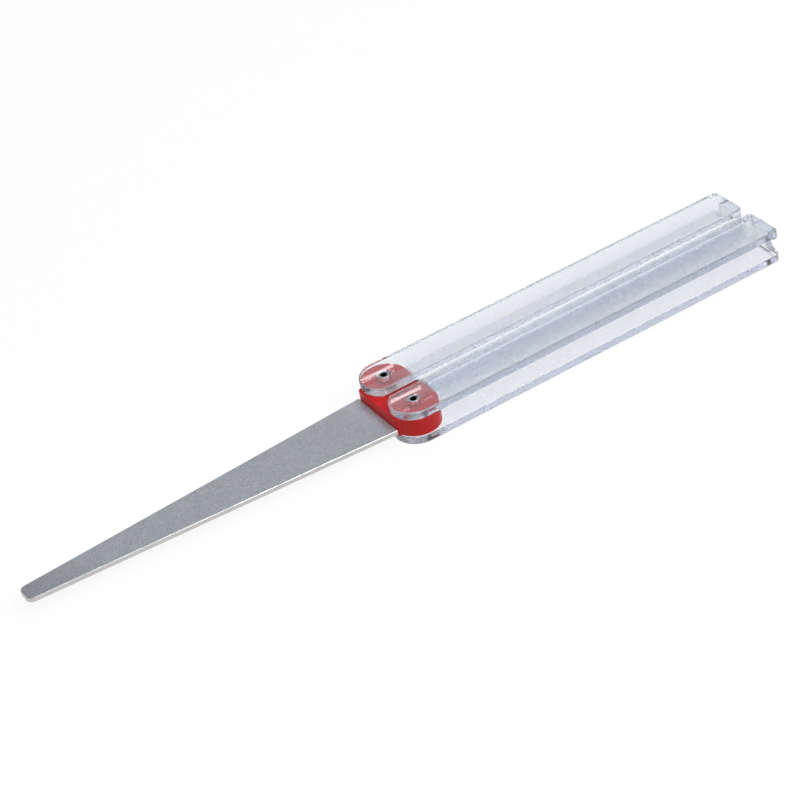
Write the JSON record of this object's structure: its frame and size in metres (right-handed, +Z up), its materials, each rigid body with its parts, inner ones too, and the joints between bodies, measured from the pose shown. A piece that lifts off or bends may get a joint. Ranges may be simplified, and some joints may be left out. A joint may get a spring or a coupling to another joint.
{
  "type": "folding edge file",
  "caption": "Tapered flat diamond file in a red hub, with clear channel handles that swing on pins from behind the file to fold over it; dresses the metal edges of skis and snowboards.",
  "frame": {"origin": "middle of the open tool's underside, on the plane that the handles rest on", "axes": "+X along the tool from the file's tip towards the handles' ends, +Y towards the left handle, +Z up, square to the file's faces"},
  "size_m": [0.24, 0.029, 0.0107],
  "materials": {
    "diamond_steel": "matt grey diamond grit plated on steel, with bright worn edges",
    "red_plastic": "glossy red moulding",
    "spring_steel": "bright rolled spring steel",
    "clear_plastic": "polished water-clear moulding with a cool tint"
  },
  "bodies": {
    "file_and_hub": {"file_blade": "diamond_steel", "hub": "red_plastic", "left_pivot_pin": "spring_steel", "right_pivot_pin": "spring_steel"},
    "left_handle": {"left_handle": "clear_plastic"},
    "right_handle": {"right_handle": "clear_plastic"}
  },
  "joints": [
    {"name": "left_handle_swing", "type": "hinge", "parent": "file_and_hub", "child": "left_handle", "pos_m": [-0.002, 0.0075, 0.00535], "axis": [0, 0, 1], "range_deg": [0, 180]},
    {"name": "right_handle_swing", "type": "hinge", "parent": "file_and_hub", "child": "right_handle", "pos_m": [-0.002, -0.0075, 0.00535], "axis": [0, 0, -1], "range_deg": [0, 180]}
  ]
}
